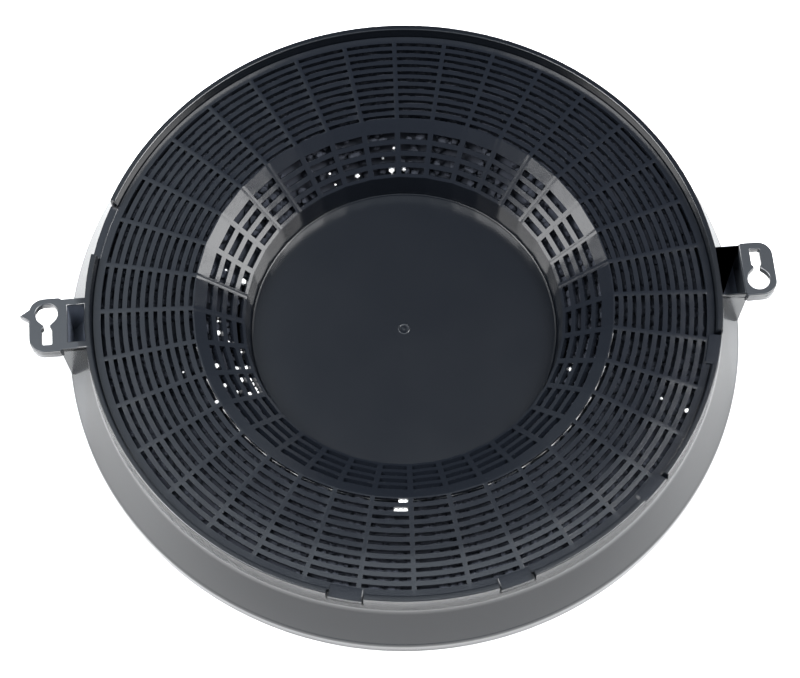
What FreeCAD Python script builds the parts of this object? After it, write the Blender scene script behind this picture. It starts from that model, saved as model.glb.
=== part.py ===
import FreeCAD, Part
import os
import Sketcher

# Round cooker hood carbon filter, lying grille side up on its base, Z up, base plane at Z = 0.
# X runs through the two keyhole ears. The ear on -X carries the small pointer.
# Three pieces: a casing with ears and a slotted underside, a slotted grille that drops
# into its rim, and the bed of carbon granules between them.

doc = FreeCAD.newDocument("carbon_filter")
origin = FreeCAD.Vector(0, 0, 0)
up = FreeCAD.Vector(0, 0, 1)

sizes = [
    # casing section
    ("total_height", 30.0),
    ("rim_radius", 118.5),
    ("rim_width", 2.2),
    ("rim_draft", 0.6),
    ("shoulder_depth", 11.0),
    ("wall_width", 2.2),
    ("base_radius", 127.0),
    ("band_height", 5.5),
    ("floor_height", 2.2),
    ("shelf_width", 1.8),
    # slots through the underside
    ("base_slot_count", 36),
    ("base_slot_width", 2.6),
    ("base_slot_inner", 64.0),
    ("base_slot_outer", 117.0),
    # grille
    ("face_recess", 3.9),
    ("grille_thickness", 2.0),
    ("fit_gap", 0.15),
    ("sector_count", 36),
    ("spoke_angle", -3.0),
    ("spoke_width", 1.7),
    ("slot_width", 1.5),
    ("slot_pitch", 3.275),
    ("inner_slot_radius", 79.3),
    ("edge_strip", 0.35),
    ("cone_depth", 13.3),
    ("cone_slot_width", 2.1),
    ("cone_slot_pitch", 3.63),
    ("cone_slot_radius", 62.1),
    ("well_radius", 60.0),
    ("well_draft", 1.5),
    ("skirt_width", 1.8),
    # lugs of the grille in the notches of the rim
    ("lug_count", 4),
    ("lug_pitch", 30.0),
    ("lug_start", -105.0),
    ("lug_angle", 6.0),
    ("lug_rise", 0.8),
    ("key_lug_position", 160.5),
    ("key_lug_angle", 11.0),
    ("notch_gap", 0.3),
    # ears
    ("ear_reach", 138.8),
    ("ear_width", 21.8),
    ("ear_depth", 5.3),
    ("ear_plate", 3.0),
    ("ear_edge", 1.6),
    ("ear_corner", 5.6),
    ("pillar_reach", 127.2),
    ("pillar_width", 20.4),
    ("pillar_foot_height", 7.0),
    ("pointer_length", 3.4),
    ("pointer_width", 4.7),
    # keyholes
    ("keyhole_radius", 132.2),
    ("keyhole_head", 4.1),
    ("keyhole_head_offset", 4.5),
    ("keyhole_funnel_angle", 43.0),
    ("keyhole_neck_width", 2.3),
    ("keyhole_neck_length", 1.0),
    ("keyhole_slot_width", 3.7),
    ("keyhole_slot_end", 8.0),
    # pockets between rim and ear
    ("pocket_wall", 1.0),
    ("right_pocket_length", 8.2),
    ("right_pocket_width", 19.2),
    ("left_pocket_length", 6.0),
    ("left_pocket_width", 14.9),
    # carbon bed
    ("bed_gap", 0.3),
]

flat_row_count = 11
cone_row_count = 4

sheet = doc.addObject("Spreadsheet::Sheet", "Sizes")
for row, (alias, value) in enumerate(sizes, start=1):
    sheet.set(f"A{row}", alias)
    sheet.set(f"B{row}", str(value))
    sheet.setAlias(f"B{row}", alias)
doc.recompute()


def size(text):
    """Turn plain size names in a formula into references to the sheet."""
    words = text.split()
    known = {alias for alias, _ in sizes}
    return " ".join(f"Sizes.{word}" if word in known else word for word in words)


# Heights and radii that several pieces share, written with the sheet's names
face_height = "( total_height - face_recess )"
shelf_height = f"( {face_height} - grille_thickness )"
shoulder_height = "( total_height - shoulder_depth )"
rim_inside = "( rim_radius - rim_width )"
seat_radius = f"( {rim_inside} - rim_draft )"
shelf_radius = f"( {seat_radius} - shelf_width )"
break_radius = "( inner_slot_radius - slot_width / 2 - edge_strip )"
half_sector = "( 180 / sector_count * 1 deg )"


def new_body(label):
    body = doc.addObject("PartDesign::Body", label)
    body.Label = label
    return body


def origin_feature(body, role):
    return [item for item in body.Origin.OriginFeatures if item.Role == role][0]


def new_sketch(body, name, role, height=None):
    """A sketch on one of the body's own planes, raised by a formula if given."""
    drawing = body.newObject("Sketcher::SketchObject", name)
    drawing.AttachmentSupport = [(origin_feature(body, role), "")]
    drawing.MapMode = "FlatFace"
    if height:
        drawing.setExpression(".AttachmentOffset.Base.z", size(height))
    return drawing


def pin_point(drawing, line, end, x, y):
    """Hold a line's end at a place given by two formulas; a leading minus turns it round."""
    for kind, text in (("DistanceX", x), ("DistanceY", y)):
        if text == "0":
            axis = -2 if kind == "DistanceX" else -1
            drawing.addConstraint(Sketcher.Constraint("PointOnObject", line, end, axis))
            continue
        if text.startswith("-"):
            index = drawing.addConstraint(Sketcher.Constraint(kind, line, end, -1, 1, 1.0))
            text = text[1:]
        else:
            index = drawing.addConstraint(Sketcher.Constraint(kind, -1, 1, line, end, 1.0))
        drawing.setExpression(f"Constraints[{index}]", size(text))


def draw_outline(drawing, points):
    """Closed outline of straight lines through points given as formulas."""
    first = drawing.GeometryCount
    count = len(points)
    circle = [FreeCAD.Vector(100, 0, 0)]
    for step in range(1, count):
        turn = FreeCAD.Rotation(up, 360 * step / count)
        circle.append(turn.multVec(circle[0]))
    for step in range(count):
        drawing.addGeometry(Part.LineSegment(circle[step], circle[(step + 1) % count]), False)
    for step in range(count):
        after = first + (step + 1) % count
        drawing.addConstraint(Sketcher.Constraint("Coincident", first + step, 2, after, 1))
    for step, (x, y) in enumerate(points):
        pin_point(drawing, first + step, 1, x, y)


def revolve(body, name, points):
    drawing = new_sketch(body, f"{name}_section", "XZ_Plane")
    draw_outline(drawing, points)
    turn = body.newObject("PartDesign::Revolution", name)
    turn.Profile = drawing
    turn.ReferenceAxis = (drawing, ["V_Axis"])
    turn.Angle = 360
    return turn


def pad(body, drawing, name, length, midplane=False):
    block = body.newObject("PartDesign::Pad", name)
    block.Profile = drawing
    block.setExpression("Length", size(length))
    block.Midplane = midplane
    return block


def pocket(body, drawing, name, length, midplane=False, upwards=False):
    hollow = body.newObject("PartDesign::Pocket", name)
    hollow.Profile = drawing
    hollow.setExpression("Length", size(length))
    hollow.Midplane = midplane
    hollow.Reversed = upwards
    return hollow


def polar(body, name, feature, count, angle=None):
    """Repeat a feature round the Z axis; a full turn unless an angle is given."""
    ring = body.newObject("PartDesign::PolarPattern", name)
    ring.Originals = [feature]
    ring.Axis = (origin_feature(body, "Z_Axis"), [""])
    ring.Angle = 360
    if angle:
        ring.setExpression("Angle", size(angle))
    ring.setExpression("Occurrences", size(count))
    body.Tip = ring
    return ring


def turn_about_z(item, angle):
    item.Placement = FreeCAD.Placement(origin, FreeCAD.Rotation(up, 10))
    item.setExpression(".Placement.Rotation.Angle", size(f"{angle} * 1 deg"))


def wedge_points(inner, outer, angle):
    """Four corners of a wedge about the X axis, from one radius to another."""
    half = f"( {angle} / 2 * 1 deg )"
    return [
        (inner, f"{inner} * tan{half}"),
        (outer, f"{outer} * tan{half}"),
        (outer, f"-{outer} * tan{half}"),
        (inner, f"-{inner} * tan{half}"),
    ]


def casing_shell():
    """Turned casing: floor, band, flared wall, upright rim and the shelf inside it."""
    body = new_body("casing_shell")
    section = [
        ("0", "0"),
        ("base_radius", "0"),
        ("base_radius", "band_height"),
        ("rim_radius", shoulder_height),
        ("rim_radius", "total_height"),
        (rim_inside, "total_height"),
        (seat_radius, shelf_height),
        (shelf_radius, shelf_height),
        ("base_radius - wall_width", "floor_height"),
        ("0", "floor_height"),
    ]
    revolve(body, "shell", section)

    slot = new_sketch(body, "underside_slot", "XY_Plane")
    corners = [
        ("base_slot_inner", "base_slot_width / 2"),
        ("base_slot_outer", "base_slot_width / 2"),
        ("base_slot_outer", "-base_slot_width / 2"),
        ("base_slot_inner", "-base_slot_width / 2"),
    ]
    draw_outline(slot, corners)
    cut = pocket(body, slot, "underside_opening", "floor_height * 1.5", upwards=True)
    polar(body, "underside_slots", cut, "base_slot_count")
    return body


def ring_of_wedges(label, angle, position, bottom, height, count=None):
    """Wedges that cross the rim: lugs of the grille, or the notches that they lie in."""
    body = new_body(label)
    drawing = new_sketch(body, f"{label}_outline", "XY_Plane", bottom)
    inner = f"( {shelf_radius} )"
    outer = "( rim_radius + rim_width )"
    draw_outline(drawing, wedge_points(inner, outer, angle))
    block = pad(body, drawing, f"{label}_block", height)
    if count:
        polar(body, f"{label}_ring", block, count, f"( {count} - 1 ) * lug_pitch")
    turn_about_z(body, position)
    return body


def ear(label, pocket_length, pocket_width, pointer):
    """Ear on +X: hollow pillar on the wall, plate with a turned-down edge, keyhole."""
    body = new_body(label)
    root = "( rim_radius - wall_width / 2 )"
    pillar_side = new_sketch(body, f"{label}_pillar_side", "XZ_Plane")
    flare = f"( ( base_radius - rim_radius ) / ( {shoulder_height} - band_height ) )"
    foot = f"( base_radius - {flare} * ( pillar_foot_height - band_height ) )"
    side = [
        (root, "total_height"),
        ("pillar_reach", "total_height"),
        ("pillar_reach", "total_height - ear_depth"),
        (foot, "pillar_foot_height"),
        (f"{foot} - wall_width / 2", "pillar_foot_height"),
        (root, shoulder_height),
    ]
    draw_outline(pillar_side, side)
    pad(body, pillar_side, f"{label}_pillar", "pillar_width", midplane=True)

    plate_outline = new_sketch(body, f"{label}_plate_outline", "XY_Plane", "total_height - ear_depth")
    plate = [
        ("pillar_reach - pocket_wall", "ear_width / 2"),
        ("ear_reach", "ear_width / 2"),
        ("ear_reach", "-ear_width / 2"),
        ("pillar_reach - pocket_wall", "-ear_width / 2"),
    ]
    draw_outline(plate_outline, plate)
    block = pad(body, plate_outline, f"{label}_plate", "ear_depth")
    doc.recompute()

    corners = body.newObject("PartDesign::Fillet", f"{label}_corners")
    corners.Base = (block, outer_upright_edges(block.Shape))
    corners.setExpression("Radius", size("ear_corner"))
    doc.recompute()

    if pointer:
        tip_outline = new_sketch(body, f"{label}_pointer_outline", "XY_Plane", "total_height - ear_plate")
        tip = [
            ("ear_reach - ear_edge", "-( keyhole_head_offset - pointer_width / 2 )"),
            ("ear_reach", "-( keyhole_head_offset - pointer_width / 2 )"),
            ("ear_reach + pointer_length", "-keyhole_head_offset"),
            ("ear_reach", "-( keyhole_head_offset + pointer_width / 2 )"),
            ("ear_reach - ear_edge", "-( keyhole_head_offset + pointer_width / 2 )"),
        ]
        draw_outline(tip_outline, tip)
        pad(body, tip_outline, f"{label}_pointer", "ear_plate")

    recess_outline = new_sketch(body, f"{label}_recess_outline", "XY_Plane", "total_height - ear_depth")
    reach = "( ear_reach - ear_edge )"
    half = "( ear_width / 2 - ear_edge )"
    blunt = "( ear_corner - ear_edge )"
    recess = [
        ("pillar_reach", half),
        (f"{reach} - {blunt}", half),
        (reach, f"{half} - {blunt}"),
        (reach, f"-( {half} - {blunt} )"),
        (f"{reach} - {blunt}", f"-{half}"),
        ("pillar_reach", f"-{half}"),
    ]
    draw_outline(recess_outline, recess)
    pocket(body, recess_outline, f"{label}_recess", "ear_depth - ear_plate", upwards=True)

    head = new_sketch(body, f"{label}_keyhole_head", "XY_Plane", "total_height")
    head.addGeometry(Part.Circle(FreeCAD.Vector(100, -5, 0), up, 4), False)
    radius = head.addConstraint(Sketcher.Constraint("Radius", 0, 4.0))
    head.setExpression(f"Constraints[{radius}]", size("keyhole_head"))
    pin_point(head, 0, 3, "keyhole_radius", "-keyhole_head_offset")
    pocket(body, head, f"{label}_keyhole_round", "ear_depth")

    track = new_sketch(body, f"{label}_keyhole_track", "XY_Plane", "total_height")
    draw_outline(track, keyhole_track_points())
    pocket(body, track, f"{label}_keyhole_slot", "ear_depth")

    hollow_side = new_sketch(body, f"{label}_pocket_side", "XZ_Plane")
    pocket_end = f"( rim_radius + {pocket_length} )"
    hollow = [
        (root, "total_height + 1"),
        (pocket_end, "total_height + 1"),
        (pocket_end, "total_height - ear_depth"),
        (f"{foot} - pocket_wall * 1.5", "pillar_foot_height + pocket_wall"),
        (root, f"{shoulder_height} - pocket_wall"),
    ]
    draw_outline(hollow_side, hollow)
    pocket(body, hollow_side, f"{label}_pocket", pocket_width, midplane=True)
    return body


def outer_upright_edges(shape):
    """Names of the upright edges that lie furthest out along X."""
    names = []
    reach = shape.BoundBox.XMax
    for number, edge in enumerate(shape.Edges, start=1):
        box = edge.BoundBox
        if abs(box.XMin - reach) < 0.01 and box.XLength < 0.01 and box.YLength < 0.01:
            names.append(f"Edge{number}")
    return names


def keyhole_track_points():
    """Funnel, neck and slot of the keyhole; the funnel's sides leave its head as tangents."""
    angle = "( keyhole_funnel_angle * 1 deg )"
    across = f"( keyhole_head * sin{angle} )"
    along = f"( keyhole_head * cos{angle} )"
    neck = "keyhole_neck_width / 2"
    slot = "keyhole_slot_width / 2"
    funnel_top = f"( {along} + ( {across} - {neck} ) * tan{angle} - keyhole_head_offset )"
    neck_top = f"( {funnel_top} + keyhole_neck_length )"
    slot_start = f"( {neck_top} + {slot} - {neck} )"
    side = [
        (across, f"-( keyhole_head_offset - {along} )"),
        (neck, funnel_top),
        (neck, neck_top),
        (slot, slot_start),
        (slot, "keyhole_slot_end"),
    ]
    right = [(f"keyhole_radius + {x}", y) for x, y in side]
    left = [(f"keyhole_radius - {x}", y) for x, y in reversed(side)]
    return right + left


def faceted_solid(label, radius, profile):
    """Round block cut flat in every sector along a profile of corner radii and heights."""
    body = new_body(label)
    bottom = profile[0][1]
    top = profile[-1][1]
    drawing = new_sketch(body, f"{label}_circle", "XY_Plane", bottom)
    drawing.addGeometry(Part.Circle(origin, up, 80), False)
    drawing.addConstraint(Sketcher.Constraint("Coincident", 0, 3, -1, 1))
    limit = drawing.addConstraint(Sketcher.Constraint("Radius", 0, 80.0))
    drawing.setExpression(f"Constraints[{limit}]", size(radius))
    pad(body, drawing, f"{label}_block", f"{top} - {bottom}")

    side = new_sketch(body, f"{label}_side", "XZ_Plane")
    facet = [(f"{corner} * cos{half_sector}", height) for corner, height in profile]
    outside = [(f"{radius} + 2", top), (f"{radius} + 2", bottom)]
    draw_outline(side, outside + facet)
    width = f"2 * {radius} * tan{half_sector} + 1"
    flat = pocket(body, side, f"{label}_flat", width, midplane=True)
    polar(body, f"{label}_facets", flat, "sector_count")
    turn_about_z(body, "( spoke_angle + 180 / sector_count )")
    return body


def grille_bowl():
    """Faceted cone and skirt of the grille: an outer solid less the well above it."""
    slope = f"( ( {break_radius} - well_radius ) / cone_depth )"
    sideways = f"( grille_thickness * sqrt( 1 + {slope} ^ 2 ) )"
    well_height = f"( {face_height} - cone_depth )"
    top_radius = f"( {break_radius} - grille_thickness * {slope} + {sideways} )"
    skirt_radius = "( well_radius + skirt_width )"
    corner_height = f"( {well_height} - ( {sideways} - skirt_width ) / {slope} )"
    outer = faceted_solid("bowl_outside", top_radius, [
        (f"{skirt_radius} - well_draft", "floor_height"),
        (skirt_radius, corner_height),
        (top_radius, shelf_height),
    ])
    well_top = f"( {face_height} + 1 )"
    top_corner = f"( {break_radius} + {slope} )"
    well = faceted_solid("well", top_corner, [
        ("well_radius - well_draft", "floor_height"),
        ("well_radius", well_height),
        (top_corner, well_top),
    ])
    return outer, well


def slot_columns(label, first, pitch, width, count):
    """Upright blocks for some rows of slots, repeated in every sector."""
    body = new_body(label)
    drawing = new_sketch(body, f"{label}_column", "XY_Plane", "floor_height")
    edge = f"( spoke_width / 2 / cos{half_sector} )"
    for step in range(count):
        inner = f"( {first} + {step} * {pitch} - {width} / 2 )"
        outer = f"( {first} + {step} * {pitch} + {width} / 2 )"
        corners = [
            (inner, f"( {inner} * tan{half_sector} - {edge} )"),
            (outer, f"( {outer} * tan{half_sector} - {edge} )"),
            (outer, f"-( {outer} * tan{half_sector} - {edge} )"),
            (inner, f"-( {inner} * tan{half_sector} - {edge} )"),
        ]
        draw_outline(drawing, corners)
    column = pad(body, drawing, f"{label}_blocks", "total_height")
    polar(body, f"{label}_ring", column, "sector_count")
    turn_about_z(body, "( spoke_angle + 180 / sector_count )")
    return body


def disc(name, radius, bottom, height):
    plate = doc.addObject("Part::Cylinder", name)
    plate.setExpression("Radius", size(radius))
    plate.setExpression("Height", size(height))
    plate.setExpression(".Placement.Base.z", size(bottom))
    return plate


def fuse(name, items):
    whole = doc.addObject("Part::MultiFuse", name)
    whole.Label = name
    whole.Shapes = items
    whole.Refine = True
    return whole


def cut(name, base, tool):
    rest = doc.addObject("Part::Cut", name)
    rest.Label = name
    rest.Base = base
    rest.Tool = tool
    rest.Refine = True
    return rest


def filter_casing():
    """Casing with its two ears, and the rim notched for the lugs."""
    shell = casing_shell()
    right_ear = ear("right_ear", "right_pocket_length", "right_pocket_width", False)
    left_ear = ear("left_ear", "left_pocket_length", "left_pocket_width", True)
    left_ear.Placement = FreeCAD.Placement(origin, FreeCAD.Rotation(up, 180))
    whole = fuse("casing_with_ears", [shell, right_ear, left_ear])
    notch_height = f"( total_height - {shelf_height} + 1 )"
    notches = ring_of_wedges("notches", "( lug_angle + 2 * notch_gap )", "lug_start",
                             shelf_height, notch_height, "lug_count")
    key_notch = ring_of_wedges("key_notch", "( key_lug_angle + 2 * notch_gap )",
                               "key_lug_position", shelf_height, notch_height)
    return cut("filter_casing", whole, fuse("all_notches", [notches, key_notch]))


def inlet_grille():
    """Slotted grille: flat ring, faceted cone, skirt down to the floor, ribs and lugs."""
    plate = disc("flange_plate", f"{seat_radius} - fit_gap", shelf_height, "grille_thickness")
    flat_slots = slot_columns("flat_slots", "inner_slot_radius", "slot_pitch", "slot_width",
                              flat_row_count)
    bowl, well = grille_bowl()
    cone_slots = slot_columns("cone_slots", "cone_slot_radius", "cone_slot_pitch",
                              "cone_slot_width", cone_row_count)
    lug_height = "( grille_thickness + lug_rise )"
    lugs = ring_of_wedges("lugs", "lug_angle", "lug_start", shelf_height, lug_height, "lug_count")
    key_lug = ring_of_wedges("key_lug", "key_lug_angle", "key_lug_position", shelf_height,
                             "grille_thickness")
    limit = disc("lug_limit", "rim_radius", shelf_height, lug_height)
    trimmed = doc.addObject("Part::Common", "trimmed_lugs")
    trimmed.Base = fuse("all_lugs", [lugs, key_lug])
    trimmed.Tool = limit
    blank = cut("grille_blank", fuse("grille_outside", [plate, bowl, trimmed]), well)
    return cut("inlet_grille", cut("cone_slotted", blank, cone_slots), flat_slots)


def carbon_granules():
    """Bed of granules as one closed ring that fills the space between grille and casing."""
    slope = f"( ( {break_radius} - well_radius ) / cone_depth )"
    sideways = f"( grille_thickness * sqrt( 1 + {slope} ^ 2 ) )"
    bottom = "( floor_height + bed_gap )"
    top = f"( {shelf_height} - bed_gap )"
    inner = "( well_radius + skirt_width + bed_gap )"
    top_inner = f"( {break_radius} - grille_thickness * {slope} + {sideways} + bed_gap )"
    corner = f"( {face_height} - cone_depth - ( {sideways} - skirt_width ) / {slope} - bed_gap )"
    outer = "( base_radius - wall_width - 2 * bed_gap )"
    outside = faceted_solid("bed_outside", outer, [
        (outer, bottom),
        (f"( {shelf_radius} - bed_gap )", top),
    ])
    middle = faceted_solid("bed_middle", top_inner, [
        (inner, bottom),
        (inner, corner),
        (top_inner, top),
    ])
    return cut("carbon_granules", outside, middle)


nodes = [filter_casing(), inlet_grille(), carbon_granules()]
doc.recompute()

for item in doc.Objects:
    if "Invalid" in item.State or "Error" in item.State:
        raise RuntimeError(f"{item.Label} could not be made: {item.State}")
for node in nodes:
    if node.Shape.isNull() or not node.Shape.isValid():
        raise RuntimeError(f"{node.Label} has no valid shape")

os.makedirs("parts", exist_ok=True)
for node in nodes:
    box = node.Shape.BoundBox
    print(f"{node.Label}: {len(node.Shape.Solids)} solid, {node.Shape.Volume / 1000:.1f} cm3,",
          f"{box.XLength:.1f} x {box.YLength:.1f} x {box.ZLength:.1f} mm")
    node.Shape.exportStep(f"parts/{node.Label}.step")
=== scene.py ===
import math
import random

import bmesh
import bpy
from mathutils import Matrix, Vector


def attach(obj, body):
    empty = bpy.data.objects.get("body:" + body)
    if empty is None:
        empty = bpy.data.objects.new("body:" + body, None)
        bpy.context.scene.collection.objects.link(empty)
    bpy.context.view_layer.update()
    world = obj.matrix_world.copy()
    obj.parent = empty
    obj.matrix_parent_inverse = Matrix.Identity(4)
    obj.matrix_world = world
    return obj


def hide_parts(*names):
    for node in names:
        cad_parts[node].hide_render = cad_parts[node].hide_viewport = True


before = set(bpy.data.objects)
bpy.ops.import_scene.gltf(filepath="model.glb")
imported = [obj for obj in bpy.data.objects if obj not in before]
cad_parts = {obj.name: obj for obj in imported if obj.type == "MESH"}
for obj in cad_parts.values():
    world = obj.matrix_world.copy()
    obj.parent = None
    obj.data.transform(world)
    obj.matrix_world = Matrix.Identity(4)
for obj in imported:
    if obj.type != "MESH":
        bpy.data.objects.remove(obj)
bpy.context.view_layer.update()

mm = 0.001
upAxis = Vector((0, 0, 1))
cornerSegments = 4
axisReach = 1e-4
spinMerge = 0.001
grainDepth = 0.2 * mm

# Sizes that more than one piece needs, in millimetres and degrees.
# Each lug is given by its angle and its span.
body = {
    "height": 30.0,
    "rimRadius": 118.5,
    "faceHeight": 26.1,
    "floorHeight": 2.2,
    "sectors": 36,
    "spokeAngle": -3.0,
    "breakRadius": 78.2,
    "wellRadius": 60.0,
    "wellHeight": 12.8,
    "lugs": [(-105, 6.0), (-75, 6.0), (-45, 6.0), (-15, 6.0)],
    "keyLug": (160.5, 11.0),
    "notchGap": 0.3,
}


# Mesh object from a bmesh given in millimetres
def newObject(name, bm):
    bmesh.ops.scale(bm, vec=(mm, mm, mm), verts=bm.verts)
    mesh = bpy.data.meshes.new(name)
    bm.to_mesh(mesh)
    bm.free()
    obj = bpy.data.objects.new(name, mesh)
    bpy.context.collection.objects.link(obj)
    return obj


# Smooth shading that breaks at edges from an angle on
def smooth(obj, angle):
    obj.data.shade_smooth()
    obj.data.set_sharp_from_angle(angle=math.radians(angle))


# Marks the edges between two faces of a faceted cone, told by how steep they are
def sharpenFacets(obj, least, steepness):
    low, high = steepness
    bm = bmesh.new()
    bm.from_mesh(obj.data)
    for edge in bm.edges:
        inCone = [low < face.normal.z < high for face in edge.link_faces]
        if len(inCone) == 2 and all(inCone) and edge.calc_face_angle() > math.radians(least):
            edge.smooth = False
    bm.to_mesh(obj.data)
    bm.free()


def addModifier(obj, kind, **values):
    modifier = obj.modifiers.new(kind.lower(), kind)
    for key, value in values.items():
        setattr(modifier, key, value)


# Rounds the edges that are sharper than an angle
def addBevel(obj, width, segments, angle):
    addModifier(obj, "BEVEL", width=width * mm, segments=segments, limit_method="ANGLE",
                angle_limit=math.radians(angle))


def applyModifiers(obj):
    evaluated = obj.evaluated_get(bpy.context.evaluated_depsgraph_get())
    mesh = bpy.data.meshes.new_from_object(evaluated)
    obj.modifiers.clear()
    obj.data = mesh


# Takes one object's solid out of another and removes the cutter
def cutAway(obj, cutter):
    addModifier(obj, "BOOLEAN", operation="DIFFERENCE", object=cutter, solver="EXACT")
    applyModifiers(obj)
    bpy.data.objects.remove(cutter)


# Adds other mesh objects' geometry to the target and removes them
def joinInto(target, others):
    bm = bmesh.new()
    bm.from_mesh(target.data)
    for other in others:
        bm.from_mesh(other.data)
        bpy.data.objects.remove(other)
    bm.to_mesh(target.data)
    bm.free()


# Keeps flat faces flat beside their rounded edges and gives the only material
def dress(obj, material):
    addModifier(obj, "WEIGHTED_NORMAL", weight=100, keep_sharp=True)
    obj.data.materials.clear()
    obj.data.materials.append(material)


# Upright face in the XZ plane from (radius, height, rounding) corners
def roundedOutline(bm, points):
    verts = [bm.verts.new((r, 0, z)) for r, z, _ in points]
    bm.faces.new(verts)
    for vert, (_, _, rounding) in zip(verts, points):
        if rounding:
            bmesh.ops.bevel(bm, geom=[vert], offset=rounding, offset_type="OFFSET",
                            affect="VERTICES", segments=cornerSegments, profile=0.5, material=-1)


# Solid of revolution about Z from an outline whose corners can be rounded
def spunOutline(bm, points, steps):
    roundedOutline(bm, points)
    onAxis = [e for e in bm.edges if all(abs(v.co.x) < axisReach for v in e.verts)]
    bmesh.ops.delete(bm, geom=bm.faces[:], context="FACES_ONLY")
    bmesh.ops.delete(bm, geom=onAxis, context="EDGES")
    bmesh.ops.spin(bm, geom=bm.verts[:] + bm.edges[:], cent=(0, 0, 0), axis=upAxis,
                   angle=math.tau, steps=steps, use_merge=True, use_duplicate=False)
    bmesh.ops.remove_doubles(bm, verts=bm.verts, dist=spinMerge)
    bmesh.ops.recalc_face_normals(bm, faces=bm.faces)


# Block between two radii and two heights, round a middle angle with a span about Z
def wedgeBlock(bm, radii, arc, heights, steps):
    (inner, outer), (angle, span), (low, high) = radii, arc, heights
    turn = Matrix.Rotation(math.radians(angle - span / 2), 4, "Z")
    corners = [(inner, low), (outer, low), (outer, high), (inner, high)]
    face = bm.faces.new([bm.verts.new(turn @ Vector((r, 0, z))) for r, z in corners])
    bmesh.ops.spin(bm, geom=[face], cent=(0, 0, 0), axis=upAxis, angle=math.radians(span),
                   steps=steps, use_merge=False, use_duplicate=False)


# Material with nodes, its node tree and its main shader
def newShader(name):
    material = bpy.data.materials.new(name)
    material.use_nodes = True
    return material, material.node_tree, material.node_tree.nodes["Principled BSDF"]


# Links an output to an input, or sets the input where the source is a plain value
def feed(tree, socket, source):
    if isinstance(source, bpy.types.NodeSocket):
        tree.links.new(source, socket)
    else:
        socket.default_value = source


# X, Y and Z outputs of one kind of texture coordinate
def splitPlace(tree, kind):
    place = tree.nodes.new("ShaderNodeTexCoord")
    split = tree.nodes.new("ShaderNodeSeparateXYZ")
    feed(tree, split.inputs["Vector"], place.outputs[kind])
    return split.outputs


def mathNode(tree, operation, *sources):
    node = tree.nodes.new("ShaderNodeMath")
    node.operation = operation
    for socket, source in zip(node.inputs, sources):
        feed(tree, socket, source)
    return node.outputs["Value"]


# Carries a value from one range to another and holds it at the ends
def mapRange(tree, source, before, after):
    node = tree.nodes.new("ShaderNodeMapRange")
    node.inputs["From Min"].default_value, node.inputs["From Max"].default_value = before
    node.inputs["To Min"].default_value, node.inputs["To Max"].default_value = after
    feed(tree, node.inputs["Value"], source)
    return node.outputs["Result"]


def mixColors(tree, factor, first, second):
    node = tree.nodes.new("ShaderNodeMix")
    node.data_type = "RGBA"
    for name, source in (("Factor", factor), ("A", first), ("B", second)):
        feed(tree, node.inputs[name], source)
    return node.outputs["Result"]


# Noise on the object's own coordinates
def noise(tree, scale, detail):
    place = tree.nodes.new("ShaderNodeTexCoord")
    node = tree.nodes.new("ShaderNodeTexNoise")
    node.inputs["Scale"].default_value = scale
    node.inputs["Detail"].default_value = detail
    feed(tree, node.inputs["Vector"], place.outputs["Object"])
    return node.outputs["Fac"]


def background(tree, color, strength):
    node = tree.nodes.new("ShaderNodeBackground")
    feed(tree, node.inputs["Color"], color)
    feed(tree, node.inputs["Strength"], strength)
    return node.outputs["Background"]


# Base colour that is lighter far out along X, where the ears are, and in their pockets: painted
# light on the ears and painted light inside the shaded pockets, on one plastic
def paintedLightEarColor(tree, look):
    place = splitPlace(tree, "Object")
    reach = mathNode(tree, "ABSOLUTE", place["X"])
    earLightMask = mapRange(tree, reach, (look["paintedLightFrom"] * mm, look["paintedLightTo"] * mm), (0, 1))
    surface = mixColors(tree, earLightMask, (*look["color"], 1), (*look["paintedLightColor"], 1))
    # Painted light: the box inside each pocket, which lies in shade, gets a lighter colour
    inside = 1
    for source, (middle, eachWay) in zip((reach, place["Y"], place["Z"]), look["pocketLightBox"]):
        near = mathNode(tree, "COMPARE", source, middle * mm, eachWay * mm)
        inside = mathNode(tree, "MULTIPLY", inside, near)
    return mixColors(tree, inside, surface, (*look["pocketPaintedLight"], 1))


# Base colour that turns white where the mesh's own value says so: painted light, white grains for
# light seen through gaps in the bed
def paintedGapLightColor(tree, look):
    value = tree.nodes.new("ShaderNodeAttribute")
    value.attribute_name = look["gapLightValue"]
    return mixColors(tree, value.outputs["Fac"], (*look["color"], 1), (1, 1, 1, 1))


# Plain surface with clouded roughness and a fine grain
def surfaceMaterial(name, look):
    material, tree, shader = newShader(name)
    color = (*look["color"], 1)
    # Painted light: the ears and their pockets get a lighter colour than the rest of the same
    # plastic
    if "paintedLightColor" in look:
        color = paintedLightEarColor(tree, look)
    # Painted light: white grains for light seen through gaps in the bed
    if "gapLightValue" in look:
        color = paintedGapLightColor(tree, look)
    feed(tree, shader.inputs["Base Color"], color)
    shader.inputs["IOR"].default_value = look["ior"]

    cloud = noise(tree, look["cloudScale"], look["cloudDetail"])
    middle, spread = look["roughness"], look["roughnessSpread"]
    rough = mapRange(tree, cloud, (0, 1), (middle - spread, middle + spread))
    feed(tree, shader.inputs["Roughness"], rough)

    bump = tree.nodes.new("ShaderNodeBump")
    bump.inputs["Strength"].default_value = look["grainStrength"]
    bump.inputs["Distance"].default_value = grainDepth
    feed(tree, bump.inputs["Height"], noise(tree, look["grainScale"], look["grainDetail"]))
    feed(tree, shader.inputs["Normal"], bump.outputs["Normal"])
    return material


plasticLook = {
    "ior": 1.5,
    "roughnessSpread": 0.02,
    "cloudScale": 40,
    "cloudDetail": 4,
    "grainScale": 1800,
    "grainDetail": 2,
    "grainStrength": 0.12,
}
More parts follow.
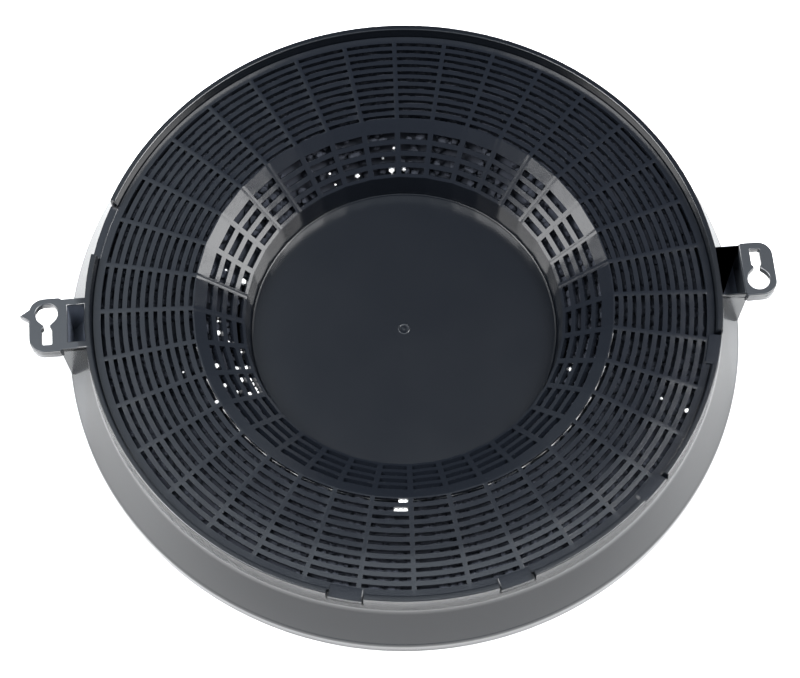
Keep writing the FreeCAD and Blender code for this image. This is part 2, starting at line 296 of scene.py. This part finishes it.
# The pocket colour is painted light in the shaded pockets. The pocket box is a middle and a reach
# each way, along X (both ways from the axis), Y and Z.
plastic = surfaceMaterial("darkPlastic", {
    **plasticLook,
    "color": (0.003, 0.0038, 0.0054),
    "roughness": 0.19,
    # Painted light: the ears, and the casing beyond 119 mm along X, are drawn lighter than the
    # same plastic elsewhere
    "paintedLightColor": (0.018, 0.020, 0.023),
    "paintedLightFrom": 119.0,
    "paintedLightTo": 122.0,
    "pocketPaintedLight": (0.14, 0.155, 0.19),
    "pocketLightBox": [(121.7, 4.0), (0, 9.75), (18.0, 11.4)],
})
grillePlastic = surfaceMaterial("grillePlastic", {
    **plasticLook,
    "color": (0.004, 0.005, 0.0072),
    "roughness": 0.17,
})
carbon = surfaceMaterial("carbon", {
    "color": (0.022, 0.0245, 0.032),
    "gapLightValue": "pale",
    "ior": 1.2,
    "roughness": 0.9,
    "roughnessSpread": 0.1,
    "cloudScale": 300,
    "cloudDetail": 4,
    "grainScale": 900,
    "grainDetail": 2,
    "grainStrength": 0.6,
})

grille = {
    "rows": 11,
    "firstRow": 79.3,
    "rowPitch": 3.275,
    "slotWidth": 1.5,
    "spokeWidth": 1.7,
    "ribWidth": 2.1,
    "spokeRise": 0.12,
    "thickness": 2.0,
    "borderRadius": 113.0,
    "edgeRadius": 115.55,
    "creaseRadius": 100.5,
    "creaseEnd": 112.9,
    "creaseDrop": 2.0,
    "coneRows": 4,
    "firstConeRow": 62.1,
    "conePitch": 3.63,
    "coneSlotWidth": 2.1,
    "skirtFoot": 58.5,
    "slotSteps": 4,
    "merge": 0.01,
    "bevel": 0.15,
    "bevelSegments": 2,
    "bevelAngle": 50,
    "smoothAngle": 33,
    "facetAngle": 4.5,
    "facetSteepness": (0.75, 0.88),
}
lug = {
    "inner": 113.6,
    "top": 26.9,
    "keyInner": 115.3,
    "keyTop": 25.8,
    "clearance": 0.05,
    "steps": 3,
    "bevel": 0.3,
    "bevelSegments": 3,
    "smoothAngle": 40,
}


def coneHeight(radius):
    rise = body["faceHeight"] - body["wellHeight"]
    slope = rise / (body["breakRadius"] - body["wellRadius"])
    return body["wellHeight"] + (radius - body["wellRadius"]) * slope


# For each row of slots, where it starts and where it ends
def slotBands(first, pitch, count, width, heightAt):
    bands = []
    for row in range(count):
        middle = first + row * pitch
        for radius, isSlot in ((middle - width / 2, True), (middle + width / 2, False)):
            bands.append((radius, heightAt(radius), isSlot))
    return bands


# Radius and height where each band of the section starts, and whether it is a slot
def grilleBands():
    face = body["faceHeight"]
    bands = [
        (grille["skirtFoot"], body["floorHeight"], False),
        (body["wellRadius"], body["wellHeight"], False),
    ]
    bands += slotBands(grille["firstConeRow"], grille["conePitch"], grille["coneRows"],
                       grille["coneSlotWidth"], coneHeight)
    bands.append((body["breakRadius"], face, False))
    bands += slotBands(grille["firstRow"], grille["rowPitch"], grille["rows"],
                       grille["slotWidth"], lambda radius: face)
    bands.append((grille["borderRadius"], face, False))
    bands.append((grille["edgeRadius"], face, False))
    return bands


# Angle of a grid column: the sector's two ends, then the slots between the spokes
def columnAngle(column, columns, radius, inCone):
    sector = math.tau / body["sectors"]
    if column == 0:
        return 0
    if column == columns - 1:
        return sector
    halfSpoke = (grille["ribWidth"] if inCone else grille["spokeWidth"]) / 2
    edge = math.asin(halfSpoke / radius)
    return edge + (sector - 2 * edge) * (column - 1) / grille["slotSteps"]


# Place of a grid corner: the cone is faceted, spokes rise and the outer rows fall
def grillePlace(radius, height, column, columns):
    inCone = radius <= body["breakRadius"]
    angle = columnAngle(column, columns, radius, inCone)
    reach = radius
    if inCone:
        halfSector = math.pi / body["sectors"]
        reach = radius * math.cos(halfSector) / math.cos(angle - halfSector)
    onSpoke = column in (0, columns - 1)
    if onSpoke and height >= body["wellHeight"] and radius < grille["edgeRadius"]:
        height += grille["spokeRise"]
    if radius > grille["creaseRadius"]:
        fall = min(radius, grille["creaseEnd"]) - grille["creaseRadius"]
        height -= fall * math.tan(math.radians(grille["creaseDrop"]))
    return Vector((reach * math.cos(angle), reach * math.sin(angle), height))


# One sector of the grille's upper skin, from spoke middle to spoke middle
def grilleSector(bm):
    bands = grilleBands()
    columns = grille["slotSteps"] + 3
    rows = len(bands)
    bmesh.ops.create_grid(bm, x_segments=columns - 1, y_segments=rows - 1, size=0.5)
    slots = []
    for face in bm.faces:
        centre = face.calc_center_median()
        column = int((centre.x + 0.5) * (columns - 1))
        row = int((centre.y + 0.5) * (rows - 1))
        if bands[row][2] and 0 < column < columns - 2:
            slots.append(face)
    for vert in bm.verts:
        column = round((vert.co.x + 0.5) * (columns - 1))
        radius, height, _ = bands[round((vert.co.y + 0.5) * (rows - 1))]
        vert.co = grillePlace(radius, height, column, columns)
    bmesh.ops.delete(bm, geom=slots, context="FACES")


# The lugs that sit in the rim's notches
def buildLugs():
    bm = bmesh.new()
    low = body["faceHeight"] - grille["thickness"]
    outer = body["rimRadius"] - lug["clearance"]
    for place in body["lugs"]:
        wedgeBlock(bm, (lug["inner"], outer), place, (low, lug["top"]), lug["steps"])
    wedgeBlock(bm, (lug["keyInner"], outer), body["keyLug"], (low, lug["keyTop"]), lug["steps"])
    bmesh.ops.recalc_face_normals(bm, faces=bm.faces)
    obj = newObject("lugs", bm)
    addBevel(obj, lug["bevel"], lug["bevelSegments"], grille["bevelAngle"])
    applyModifiers(obj)
    smooth(obj, lug["smoothAngle"])
    return obj


def buildGrille():
    bm = bmesh.new()
    grilleSector(bm)
    sector = bm.verts[:] + bm.edges[:] + bm.faces[:]
    turn = Matrix.Rotation(math.radians(body["spokeAngle"]), 4, "Z")
    bmesh.ops.transform(bm, matrix=turn, verts=bm.verts)
    bmesh.ops.spin(bm, geom=sector, cent=(0, 0, 0), axis=upAxis, angle=math.tau,
                   steps=body["sectors"], use_merge=False, use_duplicate=True)
    bmesh.ops.remove_doubles(bm, verts=bm.verts, dist=grille["merge"])
    bmesh.ops.recalc_face_normals(bm, faces=bm.faces)
    if sum(face.normal.z for face in bm.faces) < 0:
        bmesh.ops.reverse_faces(bm, faces=bm.faces)
    obj = newObject("inletGrille", bm)
    addModifier(obj, "SOLIDIFY", thickness=grille["thickness"] * mm, offset=-1,
                use_even_offset=True)
    addBevel(obj, grille["bevel"], grille["bevelSegments"], grille["bevelAngle"])
    applyModifiers(obj)
    smooth(obj, grille["smoothAngle"])
    sharpenFacets(obj, grille["facetAngle"], grille["facetSteepness"])
    joinInto(obj, [buildLugs()])
    dress(obj, grillePlastic)
    return obj


grilleObject = buildGrille()
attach(grilleObject, "root")
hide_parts("inlet_grille")
print("grille done", len(grilleObject.data.polygons))

casing = {
    "steps": 240,
    "baseRadius": 127.0,
    "footRounding": 0.3,
    "bandHeight": 5.3,
    "bandRounding": 0.9,
    "bandStep": 0.7,
    "bandStepRounding": 0.4,
    "shoulder": 19.0,
    "shoulderRounding": 1.6,
    "rimInside": 116.3,
    "rimRoundings": (0.45, 0.35),
    "rimWall": 2.2,
    "baseWall": 2.7,
    "seatRadius": 115.7,
    "seatHeight": 24.05,
    "shelfRadius": 113.9,
    "shelfUnderside": 21.5,
    "beadRadius": 57.9,
    "beadRise": 0.5,
    "beadRounding": 0.2,
    "ringRadius": 43.0,
    "ringSlope": 0.8,
    "ringStep": 0.12,
    "gateRadius": 2.0,
    "gateOuter": 0.5,
    "gateInner": 0.6,
    "gateRounding": 0.15,
    "gateDimple": 0.5,
    "slotCount": 36,
    "slotWidth": 2.6,
    "slotInner": 64.0,
    "slotOuter": 117.0,
    "slotMiddle": 1.0,
    "slotCutHeight": 6.0,
    "notchRadii": (114.5, 125.0),
    "notchHeights": (24.2, 34.0),
    "notchSteps": 6,
    "smoothAngle": 32,
}
ear = {
    "reach": 138.8,
    "width": 21.8,
    "narrow": 20.4,
    "rootInset": 1.1,
    "pillar": 127.2,
    "foot": 126.06,
    "footHeight": 7.0,
    "footLip": (2.0, 0.5),
    "topInset": 0.5,
    "depth": 5.3,
    "plate": 3.0,
    "edge": 1.6,
    "corner": 5.6,
    "cornerSteps": 10,
    "insideSteps": 8,
    "waist": 0.6,
    "waistDrop": 0.15,
    "skirtWaist": 0.8,
    "skirtInside": 0.2,
    "skirtInset": 0.6,
    "skirtBevel": 0.3,
    "bevel": 0.35,
    "pointerReach": 3.3,
    "pointerTip": 0.1,
    "pointerHalf": 2.35,
    "pointerInset": 0.22,
}
# Length and width at the top, and how far the cut passes the root, the top and the foot.
pocket = {
    "right": (8.2, 19.2),
    "left": (6.0, 14.9),
    "mouthInset": 0.9,
    "past": 1.0,
    "pastTop": 2.0,
    "footInset": 1.5,
}
keyhole = {
    "radius": 132.2,
    "head": 4.1,
    "headSteps": 40,
    "offset": 4.5,
    "funnel": 43.0,
    "neck": 2.3,
    "neckLength": 1.0,
    "slot": 3.7,
    "end": 8.0,
    "corner": 0.6,
    "cornerSteps": 4,
}


# Half section of the casing, from the axis along the base, over the rim and back
def casingOutline():
    base, band, rim = casing["baseRadius"], casing["bandHeight"], body["rimRadius"]
    step, shoulder = casing["bandStep"], casing["shoulder"]
    floor = body["floorHeight"]
    bead, rise = casing["beadRadius"], casing["beadRise"]
    ring, slope, sunk = casing["ringRadius"], casing["ringSlope"], floor - casing["ringStep"]
    gate = casing["gateRadius"]
    rimOutside, rimInside = casing["rimRoundings"]
    return [
        (0, 0, 0),
        (base, 0, casing["footRounding"]),
        (base, band, casing["bandRounding"]),
        (base - step, band + step, casing["bandStepRounding"]),
        (rim, shoulder, casing["shoulderRounding"]),
        (rim, body["height"], rimOutside),
        (casing["rimInside"], body["height"], rimInside),
        (casing["seatRadius"], casing["seatHeight"], 0),
        (casing["shelfRadius"], casing["seatHeight"], 0),
        (casing["shelfRadius"], casing["shelfUnderside"], 0),
        (rim - casing["rimWall"], shoulder, 0),
        (base - casing["baseWall"], band, 0),
        (base - casing["baseWall"], floor, 0),
        (bead + rise, floor, 0),
        (bead, floor + rise, casing["beadRounding"]),
        (bead - rise, floor, 0),
        (ring + slope, floor, 0),
        (ring - slope, sunk, 0),
        (gate + casing["gateOuter"], sunk, 0),
        (gate, floor, casing["gateRounding"]),
        (gate - casing["gateInner"], sunk, 0),
        (casing["gateDimple"], sunk, 0),
        (0, floor, 0),
    ]


def arcPoints(centre, radius, start, end, count):
    points = []
    for step in range(count + 1):
        angle = math.radians(start + (end - start) * step / count)
        points.append((centre[0] + radius * math.cos(angle), centre[1] + radius * math.sin(angle)))
    return points


# The points, then the same ones on the other side of the X axis in reverse
def withMirror(points):
    return points + [(x, -y) for x, y in reversed(points)]


# Round end, funnel, neck and slot, seen from above, counter-clockwise from the slot
def keyholeOutline():
    x, y = keyhole["radius"], -keyhole["offset"]
    head, neck, slot = keyhole["head"], keyhole["neck"] / 2, keyhole["slot"] / 2
    funnel = math.radians(keyhole["funnel"])
    corner = keyhole["corner"]
    roundEnd = arcPoints((x, y), head, 90 + keyhole["funnel"], 450 - keyhole["funnel"],
                         keyhole["headSteps"])
    touch = head * math.sin(funnel)
    top = y + head * math.cos(funnel) + (touch - neck) * math.tan(funnel)
    neckEnd = top + keyhole["neckLength"]
    right = [(x + neck, top), (x + neck, neckEnd), (x + slot, neckEnd + slot - neck)]
    right += arcPoints((x + slot - corner, keyhole["end"] - corner), corner, 0, 90,
                       keyhole["cornerSteps"])
    left = [(2 * x - px, py) for px, py in reversed(right)]
    return roundEnd + right + left


# Flat plate with holes and rounded edges, from closed outlines in plan
def plate(name, outlines, low, high, bevel):
    curve = bpy.data.curves.new(name, "CURVE")
    curve.dimensions = "2D"
    curve.fill_mode = "BOTH"
    for outline in outlines:
        spline = curve.splines.new("POLY")
        spline.points.add(len(outline) - 1)
        for point, (x, y) in zip(spline.points, outline):
            point.co = (x * mm, y * mm, 0, 1)
        spline.use_cyclic_u = True
    curve.extrude = ((high - low) / 2 - bevel) * mm
    curve.bevel_depth = bevel * mm
    curve.bevel_resolution = 2
    curve.offset = -bevel * mm
    flat = bpy.data.objects.new(name, curve)
    bpy.context.collection.objects.link(flat)
    evaluated = flat.evaluated_get(bpy.context.evaluated_depsgraph_get())
    mesh = bpy.data.meshes.new_from_object(evaluated)
    bpy.data.objects.remove(flat)
    bpy.data.curves.remove(curve)
    mesh.transform(Matrix.Translation((0, 0, (low + high) / 2 * mm)))
    piece = bpy.data.objects.new(name, mesh)
    bpy.context.collection.objects.link(piece)
    return piece


# Block from an outline in the XZ plane, as far each way along Y
def sideBlock(points, half):
    bm = bmesh.new()
    face = bm.faces.new([bm.verts.new((x, -half, z)) for x, z in points])
    made = bmesh.ops.extrude_face_region(bm, geom=[face])
    moved = [item for item in made["geom"] if isinstance(item, bmesh.types.BMVert)]
    bmesh.ops.translate(bm, verts=moved, vec=(0, 2 * half, 0))
    bmesh.ops.recalc_face_normals(bm, faces=bm.faces)
    return newObject("sideBlock", bm)


# The ear's rounded outer corner on the +Y side
def outerCorner():
    radius = ear["corner"]
    centre = (ear["reach"] - radius, ear["width"] / 2 - radius)
    return arcPoints(centre, radius, 0, 90, ear["cornerSteps"])


# The ear's flat top with its keyhole and the mouth of its pocket
def earPlate(name, root, pocketEnd, pocketHalf, pointer):
    top = body["height"]
    half, narrow = ear["width"] / 2, ear["narrow"] / 2
    pillar, waist = ear["pillar"], ear["waist"]
    outline = withMirror(outerCorner() + [
        (pillar + waist, half),
        (pillar, half - ear["waistDrop"]),
        (pillar - waist, narrow),
        (root, narrow),
    ])
    if pointer:
        x, y = ear["reach"], -keyhole["offset"]
        tip = x + ear["pointerReach"]
        outline = outline[:-2] + [
            (x - ear["pointerInset"], y - ear["pointerHalf"]),
            (tip, y - ear["pointerTip"]),
            (tip, y + ear["pointerTip"]),
            (x, y + ear["pointerHalf"]),
        ]
    mouth = root + pocket["mouthInset"]
    hole = [(mouth, -pocketHalf), (pocketEnd, -pocketHalf),
            (pocketEnd, pocketHalf), (mouth, pocketHalf)]
    outlines = [outline, hole, keyholeOutline()]
    return plate(f"{name}Plate", outlines, top - ear["plate"], top, ear["bevel"])


# The edge that hangs down round the ear's plate
def earSkirt(name):
    top = body["height"]
    half, pillar, edge = ear["width"] / 2, ear["pillar"], ear["edge"]
    inner = ear["corner"] - edge
    centre = (ear["reach"] - edge - inner, half - ear["corner"])
    inside = withMirror(arcPoints(centre, inner, 0, 90, ear["insideSteps"])
                        + [(pillar - ear["skirtInside"], half - edge)])
    outside = withMirror(outerCorner() + [(pillar + ear["waist"], half),
                                          (pillar - ear["skirtWaist"], ear["narrow"] / 2)])
    return plate(f"{name}Skirt", [outside, inside], top - ear["depth"], top - ear["skirtInset"],
                 ear["skirtBevel"])


# The hollow block under the ear that stands on the flare
def earPillar(root, pocketEnd, pocketHalf):
    top, foot, footHeight = body["height"], ear["foot"], ear["footHeight"]
    lipLength, lipHeight = ear["footLip"]
    block = sideBlock([
        (root, top - ear["topInset"]),
        (ear["pillar"], top - ear["topInset"]),
        (ear["pillar"], top - ear["depth"]),
        (foot, footHeight),
        (foot - lipLength, footHeight - lipHeight),
        (root, casing["shoulder"]),
    ], ear["narrow"] / 2)
    past = pocket["past"]
    hollow = sideBlock([
        (root - past, top + pocket["pastTop"]),
        (pocketEnd, top + pocket["pastTop"]),
        (pocketEnd, top - ear["depth"]),
        (foot - pocket["footInset"], footHeight + past),
        (root - past, casing["shoulder"] - past),
    ], pocketHalf)
    cutAway(block, hollow)
    return block


# The parts of one ear, on the +X side
def buildEar(name, pocketSize, pointer):
    root = body["rimRadius"] - ear["rootInset"]
    pocketEnd = body["rimRadius"] + pocketSize[0]
    pocketHalf = pocketSize[1] / 2
    return [
        earPlate(name, root, pocketEnd, pocketHalf, pointer),
        earSkirt(name),
        earPillar(root, pocketEnd, pocketHalf),
    ]


# The rim's notches for the lugs and the base's slots, as one object
def buildCutters():
    bm = bmesh.new()
    for angle, span in body["lugs"] + [body["keyLug"]]:
        notch = (angle, span + 2 * body["notchGap"])
        wedgeBlock(bm, casing["notchRadii"], notch, casing["notchHeights"], casing["notchSteps"])
    inner, outer = casing["slotInner"], casing["slotOuter"]
    size = (outer - inner, casing["slotWidth"], casing["slotCutHeight"], 1)
    for step in range(casing["slotCount"]):
        made = bmesh.ops.create_cube(bm, size=1)["verts"]
        shape = Matrix.Rotation(math.tau * step / casing["slotCount"], 4, "Z")
        shape = shape @ Matrix.Translation(((inner + outer) / 2, 0, casing["slotMiddle"]))
        bmesh.ops.transform(bm, matrix=shape @ Matrix.Diagonal(size), verts=made)
    bmesh.ops.recalc_face_normals(bm, faces=bm.faces)
    return newObject("cutters", bm)


def buildCasing():
    bm = bmesh.new()
    spunOutline(bm, casingOutline(), casing["steps"])
    obj = newObject("filterCasing", bm)
    cutAway(obj, buildCutters())
    pieces = buildEar("rightEar", pocket["right"], False)
    turned = buildEar("leftEar", pocket["left"], True)
    for piece in turned:
        piece.data.transform(Matrix.Rotation(math.pi, 4, "Z"))
    joinInto(obj, pieces + turned)
    smooth(obj, casing["smoothAngle"])
    dress(obj, plastic)
    return obj


casingObject = buildCasing()
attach(casingObject, "root")
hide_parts("filter_casing")
print("casing done", len(casingObject.data.polygons))

# The core's outline is (radius, height, rounding), a pale grain is (angle, radius, size); the pale
# grains are painted light, white lumps for light seen through gaps in the bed.
bed = {
    "seed": 7,
    "shapes": 12,
    "roughness": (0.8, 1.15),
    "topCount": 2600,
    "bottomCount": 1500,
    "size": (1.5, 2.5),
    "sideStretch": (0.7, 1.25),
    "heightStretch": (0.7, 1.0),
    "inner": 62.5,
    "topOuter": 112.5,
    "bottomOuter": 120.0,
    "underGrille": 2.9,
    "underCone": 0.6,
    "sink": 0.75,
    "bottom": 2.5,
    "coreSteps": 72,
    "core": [
        (63.0, 2.8, 0),
        (123.0, 2.8, 0),
        (112.8, 21.0, 0),
        (80.5, 21.0, 0),
        (63.2, 8.6, 0),
    ],
    # White grains that are painted light, for light seen through gaps in the bed
    "gapLightAmount": 0.85,
    "gapLightRise": 0.9,
    "gapLightGrains": [
        (161.3, 62.9, 1.3), (-177.5, 70.1, 1.1), (-174.9, 66.7, 0.6), (-166.1, 73.1, 1.2),
        (-165.2, 66.2, 1.0), (-165.1, 63.0, 1.4), (-160.6, 66.6, 1.2), (-159.4, 73.0, 1.0),
        (-160.4, 63.1, 1.1), (-158.6, 63.0, 1.1), (-156.7, 63.0, 1.1), (-155.0, 62.9, 1.1),
        (-155.0, 66.1, 1.1), (-156.7, 70.1, 0.8), (-154.6, 79.2, 1.0), (-165.9, 85.8, 0.5),
        (178.4, 69.8, 0.5), (-171.7, 62.7, 0.5), (160.5, 69.6, 0.5), (89.4, 63.5, 1.6),
        (85.2, 63.6, 1.2), (101.8, 63.4, 1.2), (88.2, 70.2, 0.6), (92.1, 67.3, 0.6),
        (110.6, 66.7, 0.5), (110.1, 62.8, 0.5), (-25.2, 66.2, 0.8), (-27.4, 102.0, 0.7),
        (-27.9, 112.1, 1.0), (-94.3, 78.6, 1.3), (-95.5, 78.6, 1.2), (-94.4, 82.4, 1.4),
        (-95.6, 82.4, 1.3), (-96.7, 82.4, 1.1), (-94.2, 103.6, 0.9), (-94.2, 107.2, 0.8),
    ],
}


# Height of the space under the grille at a radius
def bedTop(radius):
    if radius < body["breakRadius"]:
        return coneHeight(radius) - bed["underGrille"] - bed["underCone"]
    return body["faceHeight"] - bed["underGrille"]


# A few rough lumps of unit size, as corner places and faces
def lumpShapes(rng):
    shapes = []
    for _ in range(bed["shapes"]):
        bm = bmesh.new()
        bmesh.ops.create_icosphere(bm, subdivisions=1, radius=1)
        for vert in bm.verts:
            vert.co *= rng.uniform(*bed["roughness"])
        corners = [vert.co.copy() for vert in bm.verts]
        faces = [[vert.index for vert in face.verts] for face in bm.faces]
        shapes.append((corners, faces))
        bm.free()
    return shapes


def addLump(bm, shape, place):
    corners, faces = shape
    verts = [bm.verts.new(place @ corner) for corner in corners]
    for face in faces:
        bm.faces.new([verts[corner] for corner in face])
    return verts


# Place, turn and stretch of one lump at the bed's top or bottom
def lumpPlace(rng, onTop):
    outer = bed["topOuter"] if onTop else bed["bottomOuter"]
    radius = math.sqrt(rng.uniform(bed["inner"] ** 2, outer ** 2))
    angle = rng.uniform(0, math.tau)
    size = rng.uniform(*bed["size"])
    height = bedTop(radius) - size * bed["sink"] if onTop else bed["bottom"] + size
    spans = (bed["sideStretch"], bed["sideStretch"], bed["heightStretch"])
    stretch = Matrix.Diagonal((*[rng.uniform(*span) * size for span in spans], 1))
    spin = Matrix.Rotation(rng.uniform(0, math.tau), 4, rng.choice("XYZ"))
    place = Matrix.Translation((radius * math.cos(angle), radius * math.sin(angle), height))
    return place @ spin @ stretch


def buildCarbon():
    rng = random.Random(bed["seed"])
    shapes = lumpShapes(rng)
    bm = bmesh.new()
    spunOutline(bm, bed["core"], bed["coreSteps"])
    for index in range(bed["topCount"] + bed["bottomCount"]):
        place = lumpPlace(rng, index < bed["topCount"])
        addLump(bm, rng.choice(shapes), place)
    # Painted light: these grains are white where light would show through gaps in the bed
    pale = bm.verts.layers.float.new("pale")
    for angle, radius, size in bed["gapLightGrains"]:
        turn = Matrix.Rotation(math.radians(angle), 4, "Z")
        place = turn @ Matrix.Translation((radius, 0, bedTop(radius) + bed["gapLightRise"]))
        for vert in addLump(bm, rng.choice(shapes), place @ Matrix.Scale(size, 4)):
            vert[pale] = bed["gapLightAmount"]
    obj = newObject("carbonGranules", bm)
    obj.data.shade_flat()
    obj.data.materials.append(carbon)
    return obj


carbonObject = buildCarbon()
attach(carbonObject, "root")
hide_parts("carbon_granules")
print("carbon done", len(carbonObject.data.polygons))

# An area light is (azimuth, elevation, distance, width, height, power),
# a ceiling panel is (left, right, near, far, radiance). Lengths here are in metres.
stage = {
    "floorSize": 3.0,
    # Painted shade: the floor is greyer on the near side, and the flare mirrors it
    "floorShadeGrey": (0.64, 0.9),
    "floorShadeFade": (-0.16, -0.08),
    "floorRoughness": 0.9,
    "floorSpecular": 0.1,
    "horizonColor": (0.79, 0.9, 1, 1),
    "ceilingColor": (0.042, 0.047, 0.06, 1),
    "bandTop": 0.35,
    "sideReach": 0.6,
    "farSide": 0.5,
    "nearSide": 1.9,
    "panelHeight": 1.76,
    "panelColor": (0.84, 0.93, 1.0),
    "areaLights": {
        "leftKey": (178, 60, 2.0, 1.0, 1.0, 88),
        "rightKey": (2, 60, 2.0, 1.0, 1.0, 88),
        "leftPanel": (181, 30, 1.6, 0.8, 0.5, 9),
        "rightPanel": (-6, 30, 1.6, 1.05, 0.5, 14.5),
    },
    "ceilingPanels": {
        "nearCeiling": (-0.9, 0.9, -0.9, 0.44, 2.0),
        "leftCeiling": (-1.0, -0.15, 0.5, 1.3, 1.0),
    },
    "cameraDistance": 0.88887,
    "cameraElevation": 64.083,
    "cameraAzimuth": -94.0,
    "cameraRoll": -0.99,
    "cameraClip": 0.05,
    "sensor": 36,
    "lens": 107.9,
    "shift": (-0.0044, -0.0532),
}


# Unit vector from the object in a direction
def toward(azimuth, elevation):
    a, e = math.radians(azimuth), math.radians(elevation)
    return Vector((math.cos(e) * math.cos(a), math.cos(e) * math.sin(a), math.sin(e)))


# White floor with painted shade: greyer on the near side, which the flare mirrors
def buildFloor():
    bm = bmesh.new()
    bmesh.ops.create_grid(bm, x_segments=1, y_segments=1, size=stage["floorSize"] / mm)
    floor = newObject("floor", bm)
    material, tree, shader = newShader("floorWhite")
    grey = mapRange(tree, splitPlace(tree, "Object")["Y"], stage["floorShadeFade"], stage["floorShadeGrey"])
    feed(tree, shader.inputs["Base Color"], grey)
    shader.inputs["Roughness"].default_value = stage["floorRoughness"]
    shader.inputs["Specular IOR Level"].default_value = stage["floorSpecular"]
    floor.data.materials.append(material)


def rectangleLight(name, width, height, power):
    data = bpy.data.lights.new(name, "AREA")
    data.shape = "RECTANGLE"
    data.size = width
    data.size_y = height
    data.energy = power
    lamp = bpy.data.objects.new(name, data)
    bpy.context.collection.objects.link(lamp)
    return lamp


# Soft panel at a direction from the object, turned to face it
def areaLight(name, azimuth, elevation, distance, width, height, power):
    lamp = rectangleLight(name, width, height, power)
    direction = toward(azimuth, elevation)
    lamp.location = direction * distance
    lamp.rotation_euler = direction.to_track_quat("Z", "Y").to_euler()


# Level panel overhead, between four places in plan, that the flat surfaces mirror
def ceilingPanel(name, left, right, near, far, radiance):
    width, depth = right - left, far - near
    lamp = rectangleLight(name, width, depth, radiance * math.pi * width * depth)
    lamp.data.color = stage["panelColor"]
    lamp.location = ((left + right) / 2, (near + far) / 2, stage["panelHeight"])


# White behind the object for the camera, and a pale horizon with a dark ceiling round it
def buildWorld():
    world = bpy.data.worlds.new("room")
    bpy.context.scene.world = world
    world.use_nodes = True
    tree = world.node_tree
    tree.nodes.clear()
    place = splitPlace(tree, "Generated")
    band = tree.nodes.new("ShaderNodeValToRGB")
    stops = ((0, stage["horizonColor"]), (stage["bandTop"], stage["ceilingColor"]))
    for element, (position, color) in zip(band.color_ramp.elements, stops):
        element.position = position
        element.color = color
    feed(tree, band.inputs["Fac"], place["Z"])
    side = mapRange(tree, place["Y"], (stage["sideReach"], -stage["sideReach"]),
                    (stage["farSide"], stage["nearSide"]))
    light = background(tree, band.outputs["Color"], side)
    seen = background(tree, (1, 1, 1, 1), 1)
    ray = tree.nodes.new("ShaderNodeLightPath")
    mix = tree.nodes.new("ShaderNodeMixShader")
    for socket, source in zip(mix.inputs, (ray.outputs["Is Camera Ray"], light, seen)):
        feed(tree, socket, source)
    output = tree.nodes.new("ShaderNodeOutputWorld")
    feed(tree, output.inputs["Surface"], mix.outputs["Shader"])


def buildCamera():
    data = bpy.data.cameras.new("camera")
    data.sensor_width = stage["sensor"]
    data.lens = stage["lens"]
    data.shift_x, data.shift_y = stage["shift"]
    data.clip_start = stage["cameraClip"]
    camera = bpy.data.objects.new("camera", data)
    bpy.context.collection.objects.link(camera)
    direction = toward(stage["cameraAzimuth"], stage["cameraElevation"])
    camera.location = upAxis * body["height"] * mm + direction * stage["cameraDistance"]
    look = direction.to_track_quat("Z", "Y").to_matrix().to_4x4()
    roll = Matrix.Rotation(math.radians(stage["cameraRoll"]), 4, "Z")
    camera.rotation_euler = (look @ roll).to_euler()
    bpy.context.scene.camera = camera


buildFloor()
buildWorld()
buildCamera()
for name, values in stage["areaLights"].items():
    areaLight(name, *values)
for name, values in stage["ceilingPanels"].items():
    ceilingPanel(name, *values)
scene = bpy.context.scene
scene.view_settings.view_transform = "Standard"
scene.view_settings.look = "None"
print("stage done")
